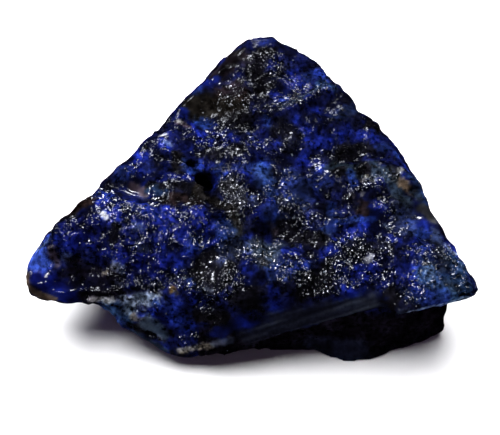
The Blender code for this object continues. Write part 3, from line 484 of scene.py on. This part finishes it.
# What is finer than the mesh and belongs to the material. Four numbers say how one thing follows
# from another: while that goes from the first number to the second, this goes from the third to
# the fourth. Each crystal and each chip has chances of its own, from 0 to 1.
BEND = (1.6, 1.2)  # size of the swirls that bend chips and crystals, and how far they bend them
MOTTLE_SIZE, MOTTLE_DETAIL = 1.0, 4.0
MOTTLE_LIGHTNESS = (0.36, 0.66, -0.55, 0.85)  # from noise
CRYSTAL_SIZE = 0.95
CRYSTAL_LIGHTNESS = (0.0, 1.0, -0.45, 0.5)  # from the crystal's chance
UNEVEN_SHARE = (0.0, 0.4, 0.12, 1.0)  # share of both of these, from chips
LEAST_LIGHTNESS = 0.1
CRUMB_COLOUR = (0.10, 0.12, 0.15, 1.0)
CRUMB_COVER = 0.6
CRUMB_CHANCE = (0.3, 1.0, 1.0, 0.93)  # above which a crystal has a crumb in it, from chips
CRUMB_EDGE = (0.45, 0.15, 0.0, 1.0)  # how whole a crumb is, from the distance to its middle
CHIP_SIZE = 0.38
CHIP_SLOPE = (0.1, 1.0, 0.0, 1.5)  # from chips
CHIP_FILM = (0.2, 0.9, 0.25, 1.0)  # share of the film on a chip, from the chip's chance
RIPPLE_LENGTHS = (1.25, 1.4)  # of the waves that run one way and of those that run the other way
RIPPLE_HEIGHT = (0.1, 1.0, 0.0, 0.20 * MM)  # in metres, from ripples
RIPPLE_TURN_SIZE = 5.0
RIPPLE_TURN = (0.42, 0.58, 0.0, 1.0)  # from one way to the other, from noise
WAVE_DISTORTION, WAVE_DETAIL, WAVE_DETAIL_SCALE = 9.0, 1.0, 1.3
WAVE_RADIANS = 20.0  # per metre, of a wave texture with a scale of 1
STONE_ROUGHNESS = 0.6
FILM_ROUGHNESS = 0.09
FILM_IOR = 1.5


def smooth_step(value, start, end):
    t = np.clip((value - start) / (end - start), 0.0, 1.0)
    return t * t * (3.0 - 2.0 * t)


def distance_to_line(points, line):
    """How far each point is from a line of straight stretches, or from its only point.

    A line given by x and y alone is seen from above.
    """
    line = np.array(line, float)
    points = points[:, :line.shape[1]]
    if len(line) == 1:
        return np.linalg.norm(points - line[0], axis=1)
    nearest = np.full(len(points), np.inf)
    for start, end in zip(line[:-1], line[1:]):
        along = end - start
        share = np.clip((points - start) @ along / (along @ along), 0.0, 1.0)
        aside = points - start - share[:, None] * along
        nearest = np.minimum(nearest, np.linalg.norm(aside, axis=1))
    return nearest


def noise_at(points, size, number):
    """Smooth noise from -1 to 1 at each point."""
    offset = Vector(NOISE_STEP) * number
    return np.array([noise.noise(Vector(p) / size + offset) for p in points])


def noises_at(points, noises):
    """The sum of noises, each given as its size, its amount and its number."""
    return sum(amount * noise_at(points, size, number) for size, amount, number in noises)


def ridged_at(points, noises):
    """The same for noises folded into sharp crests with rounded hollows between them."""
    return sum(
        height * (0.5 - 2.0 * np.abs(noise_at(points, size, number)))
        for size, height, number in noises
    )


def wandered(points, wanders):
    """The points, each moved a little by noise, by one wander after the other."""
    for size, reach, number in wanders:
        shift = [noise_at(points, size, number + k) for k in range(3)]
        points = points + reach * np.stack(shift, axis=1)
    return points


def on_face(points):
    """1 on the cleavage face, 0 well below it."""
    above = points[:, 2] - (FACE_HEIGHT + FACE_RISE * points[:, 1])
    return smooth_step(above, *FACE_DEPTHS)


def zone_weight(points, face, line, half_width, edge):
    """1 inside a zone, fading to 0 outside it. A zone of x and y alone is limited to the face."""
    weight = 1.0 - smooth_step(distance_to_line(points, line) / half_width, *edge)
    return weight * face if len(line[0]) == 2 else weight


def fine_copy(node):
    """The CAD node's mesh as even faces small enough for grains, its flat facets smoothed out."""
    stone = bpy.data.objects.new("sapphire_stone", node.data.copy())
    stone.matrix_world = node.matrix_world
    bpy.context.scene.collection.objects.link(stone)
    remesh = stone.modifiers.new("even faces", "REMESH")
    remesh.mode = "VOXEL"
    remesh.voxel_size = SKIN_VOXEL * MM
    remesh.adaptivity = 0.0
    smooth = stone.modifiers.new("soft facets", "SMOOTH")
    smooth.factor, smooth.iterations = SMOOTHING
    graph = bpy.context.evaluated_depsgraph_get()
    mesh = bpy.data.meshes.new_from_object(stone.evaluated_get(graph))
    stone.modifiers.clear()
    stone.data = mesh
    return stone


def read_points(mesh):
    """Where the points of the mesh are, and which way the skin looks there."""
    count = len(mesh.vertices)
    points, normals = np.empty(count * 3), np.empty(count * 3)
    mesh.vertices.foreach_get("co", points)
    mesh.vertices.foreach_get("normal", normals)
    return points.reshape(-1, 3) / MM, normals.reshape(-1, 3)


def finish_at(points):
    """How much of the skin the wet film covers, how chipped it is and how rippled, from 0 to 1."""
    usual = [level + noises_at(points, noises) for level, noises in USUAL_FINISH]
    finish = np.stack(usual, axis=1)
    near = wandered(points, FINISH_WANDERS)
    face = on_face(points)
    for _, *levels, half_width, line in FINISHES:
        weight = zone_weight(near, face, line, half_width, FINISH_EDGE)[:, None]
        finish += weight * (np.array(levels) - finish)
    return np.clip(finish, 0.0, 1.0).T


def skin_relief(points, chips):
    """Height of scallops, swells and grains, without the pits."""
    warped = wandered(points, RELIEF_WANDERS)
    height = ridged_at(warped, SCALLOPS) - ridged_at(warped, SWELLS)
    height += noises_at(points, GRAINS) * chips
    return height * (SMOOTH_SHARE + (1.0 - SMOOTH_SHARE) * smooth_step(chips, 0.0, ROUGH_CHIPS))


def pits_at(points):
    """1 deep in a pit and 0 outside, and the depth that the pits take off the skin."""
    in_pit = np.zeros(len(points))
    depth = np.zeros(len(points))
    for middle, radius, deep in PITS:
        inside = 1.0 - smooth_step(distance_to_line(points, [middle]) / radius, *PIT_EDGE)
        in_pit = np.maximum(in_pit, inside)
        depth = np.maximum(depth, deep * inside)
    face = on_face(points)
    return in_pit * face, depth * face


def in_tone(name, shade):
    """The logarithm of a tone's colour at each shade, from 0 for its deepest to 1 for its lightest.
    """
    steps = np.log(np.array(TONES[name]))
    return np.stack([np.interp(shade, (0.0, 0.5, 1.0), steps[:, k]) for k in range(3)], axis=1)


def streaks_at(points):
    """The shade along the streaks of the smooth band: noise drawn out one way."""
    along = np.array(STREAK_DIRECTION) / np.linalg.norm(STREAK_DIRECTION)
    squeezed = points - STREAK_STRETCH * (points @ along)[:, None] * along
    return np.clip(STREAK_LEVEL + noises_at(squeezed, STREAK_NOISES), 0.0, 1.0)


def usual_minerals_and_painted_shade(points, shade, face):
    """The logarithm of the colour where no zone lies: navy, royal, dark grains and the root, which
    is partly painted shade.
    """
    royal = smooth_step(noises_at(points, ROYAL_NOISES), *ROYAL_EDGE)[:, None]
    colour = (1.0 - royal) * in_tone("navy", shade) + royal * in_tone("royal", shade)
    dark = smooth_step(noises_at(points, DARK_NOISES), *DARK_EDGE) * (1.0 - DARK_LOSS * face)
    colour += dark[:, None] * (in_tone("matrix", shade) - colour)
    # Darker towards the bottom: the root's own dark with painted shade.
    at_front = points[:, 1] < ROOT_FRONT
    height = points[:, 2] + np.where(at_front, 0.0, noises_at(points, ROOT_NOISES))
    root = 1.0 - smooth_step(height, ROOT_TOP - ROOT_BLEND, ROOT_TOP)
    root = root * (points[:, 0] > ROOT_LEFT)
    return colour + root[:, None] * (in_tone("root", shade) - colour)


def lay_minerals_and_painted_light(points, relief, in_pit):
    """The colour of the minerals at each point, with the painted light laid among them."""
    # The relief term is painted shade in the creases and painted light on the tops of lumps.
    shade = SHADE_LEVEL + noises_at(points, SHADE_NOISES) + RELIEF_PAINTED_SHADE * relief
    shade = np.clip(shade, 0.0, 1.0)
    streaked = streaks_at(points)
    face = on_face(points)
    colour = usual_minerals_and_painted_shade(points, shade, face)
    near_large = wandered(points, LARGE_ZONE_WANDERS)
    near_small = wandered(points, SMALL_ZONE_WANDERS)
    for _, tone, half_width, strength, line in ZONES:
        near = near_large if half_width > SMALL_ZONE else near_small
        weight = strength * zone_weight(near, face, line, half_width, ZONE_EDGE)[:, None]
        own_shade = streaked if tone in STREAKED_TONES else shade
        colour += weight * (in_tone(tone, own_shade) - colour)
    # Painted shade inside the pits.
    painted_pit_shade = in_tone(PIT_SHADE_TONE, np.zeros(1))
    colour += in_pit[:, None] * (painted_pit_shade - colour)
    return np.exp(colour)


def keep_value(mesh, name, values):
    kept = mesh.attributes.new(name, "FLOAT", "POINT")
    kept.data.foreach_set("value", values.astype(np.float32))


def keep_colour(mesh, name, colours):
    whole = np.ones((len(colours), 4), np.float32)
    whole[:, :3] = colours
    mesh.attributes.new(name, "FLOAT_COLOR", "POINT").data.foreach_set("color", whole.ravel())


def work_skin(stone):
    """Gives the skin its relief, and keeps its minerals with their painted light, and its finish,
    for the material.
    """
    mesh = stone.data
    points, normals = read_points(mesh)
    film, chips, ripples = finish_at(points)
    relief = skin_relief(points, chips)
    in_pit, depth = pits_at(points)
    above_base = smooth_step(points[:, 2], *BASE_EDGE)
    moved = points + normals * ((relief - depth) * above_base)[:, None]
    moved[:, 2] = np.maximum(moved[:, 2], 0.0)
    mesh.vertices.foreach_set("co", (moved * MM).ravel())
    keep_colour(mesh, "mineral_and_painted_light", lay_minerals_and_painted_light(points, relief, in_pit))
    keep_value(mesh, "film", film * (1.0 - in_pit))
    keep_value(mesh, "chips", chips)
    keep_value(mesh, "ripples", ripples)
    for polygon in mesh.polygons:
        polygon.use_smooth = True
    mesh.update()


class Nodes:
    """A short way to write a node tree."""

    def __init__(self, material):
        material.use_nodes = True
        self.tree = material.node_tree
        self.tree.nodes.clear()

    def add(self, kind, settings=None, **sockets):
        """A node with these settings; a socket is named in words joined by _."""
        node = self.tree.nodes.new(kind)
        for name, value in (settings or {}).items():
            setattr(node, name, value)
        for name, value in sockets.items():
            self.put(node, name.replace("_", " "), value)
        return node

    def put(self, node, name, value):
        """Links or sets a socket, which is given by its name or by its number."""
        socket = node.inputs[name]
        if isinstance(value, bpy.types.NodeSocket):
            self.tree.links.new(value, socket)
        else:
            socket.default_value = value

    def fed(self, kind, settings, *values):
        """A node whose first sockets are given in order."""
        node = self.add(kind, settings)
        for number, value in enumerate(values):
            self.put(node, number, value)
        return node

    def maths(self, operation, a, b):
        return self.fed("ShaderNodeMath", {"operation": operation}, a, b).outputs[0]

    def vectors(self, operation, *values):
        return self.fed("ShaderNodeVectorMath", {"operation": operation}, *values)

    def mix(self, share, a, b, blend="MIX"):
        """A mix of two colours; of the node's sockets, 6, 7 and output 2 are for colours."""
        node = self.add("ShaderNodeMix", {"data_type": "RGBA", "blend_type": blend})
        for number, value in ((0, share), (6, a), (7, b)):
            self.put(node, number, value)
        return node.outputs[2]

    def spread(self, value, low, high, to_low=0.0, to_high=1.0):
        """Goes smoothly from to_low to to_high while value goes from low to high."""
        settings = {"interpolation_type": "SMOOTHSTEP"}
        node = self.fed("ShaderNodeMapRange", settings, value, low, high, to_low, to_high)
        return node.outputs[0]

    def attribute(self, name, output="Fac"):
        return self.add("ShaderNodeAttribute", {"attribute_name": name}).outputs[output]

    def noise(self, where, size, detail=2.0):
        return self.add("ShaderNodeTexNoise", Vector=where, Scale=1.0 / (size * MM), Detail=detail)

    def waves(self, where, length, direction):
        """Curved parallel waves, from 0 to 1, whose crests turn as they go."""
        wave = self.add(
            "ShaderNodeTexWave",
            {"bands_direction": direction},
            Vector=where,
            Scale=2.0 * math.pi / (WAVE_RADIANS * length * MM),
            Distortion=WAVE_DISTORTION,
            Detail=WAVE_DETAIL,
            Detail_Scale=WAVE_DETAIL_SCALE,
        )
        return wave.outputs["Fac"]

    def cells(self, where, size):
        return self.add("ShaderNodeTexVoronoi", Vector=where, Scale=1.0 / (size * MM))

    def parts(self, colour):
        return self.add("ShaderNodeSeparateColor", Color=colour).outputs


def bent_place(n, where):
    size, reach = BEND
    swirl = n.noise(where, size).outputs["Color"]
    return n.vectors("MULTIPLY_ADD", swirl, (reach * MM,) * 3, where).outputs[0]


def mineral_colour(n, where, bent, chips):
    """The minerals and their painted light, mottled crystal by crystal, with a pale crumb here and
    there.
    """
    mottle = n.spread(n.noise(where, MOTTLE_SIZE, MOTTLE_DETAIL).outputs[0], *MOTTLE_LIGHTNESS)
    crystal = n.cells(bent, CRYSTAL_SIZE)
    crumb_chance, own_chance = n.parts(crystal.outputs["Color"])[:2]
    uneven = n.maths("ADD", mottle, n.spread(own_chance, *CRYSTAL_LIGHTNESS))
    uneven = n.maths("MULTIPLY", uneven, n.spread(chips, *UNEVEN_SHARE))
    lightness = n.maths("MAXIMUM", n.maths("ADD", uneven, 1.0), LEAST_LIGHTNESS)
    mottled = n.mix(1.0, n.attribute("mineral_and_painted_light", "Color"), lightness, "MULTIPLY")
    chosen = n.maths("GREATER_THAN", crumb_chance, n.spread(chips, *CRUMB_CHANCE))
    core = n.spread(crystal.outputs["Distance"], *CRUMB_EDGE)
    crumb = n.maths("MULTIPLY", n.maths("MULTIPLY", chosen, core), CRUMB_COVER)
    return n.mix(crumb, mottled, CRUMB_COLOUR)


def chip_relief(n, bent, chips):
    """Small facets, each with a lean of its own: their height, and each one's chance."""
    facet = n.cells(bent, CHIP_SIZE)
    aside = n.vectors("SUBTRACT", bent, facet.outputs["Position"]).outputs[0]
    lean = n.vectors("SUBTRACT", facet.outputs["Color"], (0.5, 0.5, 0.5)).outputs[0]
    rise = n.vectors("DOT_PRODUCT", aside, lean).outputs["Value"]
    height = n.maths("MULTIPLY", rise, n.spread(chips, *CHIP_SLOPE))
    return height, n.parts(facet.outputs["Color"])[2]


def ripple_relief(n, where, ripples):
    """Waves that run one way here and the other way there."""
    length_across, length_along = RIPPLE_LENGTHS
    turn = n.spread(n.noise(where, RIPPLE_TURN_SIZE).outputs[0], *RIPPLE_TURN)
    across = n.maths("MULTIPLY", n.waves(where, length_across, "X"), turn)
    along = n.waves(where, length_along, "Y")
    along = n.maths("MULTIPLY", along, n.maths("SUBTRACT", 1.0, turn))
    return n.maths("MULTIPLY", n.maths("ADD", across, along), n.spread(ripples, *RIPPLE_HEIGHT))


def stone_material():
    """Matt minerals under a thin glossy film, which is thinner on some chips than on others."""
    material = bpy.data.materials.new("wet_grain")
    n = Nodes(material)
    where = n.add("ShaderNodeTexCoord").outputs["Object"]
    bent = bent_place(n, where)
    chips = n.attribute("chips")
    chip_height, chip_chance = chip_relief(n, bent, chips)
    height = n.maths("ADD", chip_height, ripple_relief(n, where, n.attribute("ripples")))
    bump = n.add("ShaderNodeBump", Height=height, Strength=1.0, Distance=1.0).outputs[0]
    film = n.maths("MULTIPLY", n.attribute("film"), n.spread(chip_chance, *CHIP_FILM))
    shader = n.add(
        "ShaderNodeBsdfPrincipled",
        Base_Color=mineral_colour(n, where, bent, chips),
        Roughness=STONE_ROUGHNESS,
        Specular_IOR_Level=0.0,
        Normal=bump,
        Coat_Weight=film,
        Coat_Roughness=FILM_ROUGHNESS,
        Coat_IOR=FILM_IOR,
        Coat_Normal=bump,
    )
    n.add("ShaderNodeOutputMaterial", Surface=shader.outputs[0])
    return material


def make_stone():
    stone = fine_copy(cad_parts["sapphire"])
    work_skin(stone)
    stone.data.materials.clear()
    stone.data.materials.append(stone_material())
    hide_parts("sapphire")
    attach(stone, "root")


def make_floor():
    material = bpy.data.materials.new("pale_floor")
    n = Nodes(material)
    away = n.vectors("LENGTH", n.add("ShaderNodeTexCoord").outputs["Object"]).outputs["Value"]
    start, end = FLOOR_GLOW
    shader = n.add(
        "ShaderNodeBsdfPrincipled",
        Base_Color=FLOOR_COLOUR,
        Roughness=FLOOR_ROUGHNESS,
        Specular_IOR_Level=FLOOR_SHINE,
        Emission_Color=FLOOR_COLOUR,
        Emission_Strength=n.spread(away, start * MM, end * MM),
    )
    n.add("ShaderNodeOutputMaterial", Surface=shader.outputs[0])
    bpy.ops.mesh.primitive_plane_add(size=FLOOR_SIZE * MM)
    floor = bpy.context.object
    floor.name = "floor"
    floor.data.materials.append(material)
    floor.visible_glossy = False  # the dark film would turn grey all over with it
    floor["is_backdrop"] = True


def make_backdrop():
    """A pale wall that only the camera sees, so that a low view has no dark horizon."""
    material = bpy.data.materials.new("pale_backdrop")
    material.cycles.emission_sampling = "NONE"  # it lights nothing
    n = Nodes(material)
    shader = n.add("ShaderNodeEmission", Color=FLOOR_COLOUR, Strength=BACKDROP_GLOW)
    n.add("ShaderNodeOutputMaterial", Surface=shader.outputs[0])
    bpy.ops.mesh.primitive_cylinder_add(
        radius=BACKDROP_RADIUS * MM,
        depth=BACKDROP_HEIGHT * MM,
        location=(0.0, 0.0, BACKDROP_HEIGHT * MM / 2.0),
        vertices=BACKDROP_SIDES,
        end_fill_type="NOTHING",
    )
    backdrop = bpy.context.object
    backdrop.name = "backdrop"
    backdrop.data.materials.append(material)
    backdrop.visible_diffuse = backdrop.visible_glossy = backdrop.visible_shadow = False
    backdrop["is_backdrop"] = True


def aim(obj, place, target):
    obj.location = Vector(place) * MM
    obj.rotation_euler = (Vector(target) - Vector(place)).to_track_quat("-Z", "Y").to_euler()


def make_lamp(name, place, size, power):
    light = bpy.data.lights.new(name, "AREA")
    light.shape = "DISK"
    light.size = size * MM
    light.energy = power
    lamp = bpy.data.objects.new(name, light)
    bpy.context.scene.collection.objects.link(lamp)
    aim(lamp, place, TARGET)
    return lamp


def make_lights():
    soft_box = make_lamp("soft_box", *SOFT_BOX)
    soft_box.visible_glossy = False  # only the smaller lamps glint in the wet film
    for name, (place, size, power) in GLINT_LAMPS.items():
        lamp = make_lamp(name, place, size, power)
        lamp.data.color = GLINT_COLOUR
        lamp.visible_diffuse = False
    world = bpy.data.worlds.new("studio")
    world.use_nodes = True
    world.cycles_visibility.glossy = False  # a bright room would turn the dark film grey
    background = world.node_tree.nodes["Background"]
    background.inputs["Color"].default_value = FILL_COLOUR
    background.inputs["Strength"].default_value = FILL_LEVEL
    bpy.context.scene.world = world


def make_camera():
    camera = bpy.data.cameras.new("camera")
    camera.lens = LENS
    camera.sensor_width = SENSOR
    camera.clip_start = NEAREST_SEEN * MM
    camera.clip_end = FARTHEST_SEEN * MM
    holder = bpy.data.objects.new("camera", camera)
    bpy.context.scene.collection.objects.link(holder)
    aim(holder, CAMERA, TARGET)
    bpy.context.scene.camera = holder


def write_sizes():
    boxes = {"cad": cad_box, "visual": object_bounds()}
    boxes = {name: [list(map(float, corner)) for corner in box] for name, box in boxes.items()}


make_camera()
make_stone()
make_floor()
make_backdrop()
make_lights()
bpy.context.scene.view_settings.view_transform = "Standard"
write_sizes()
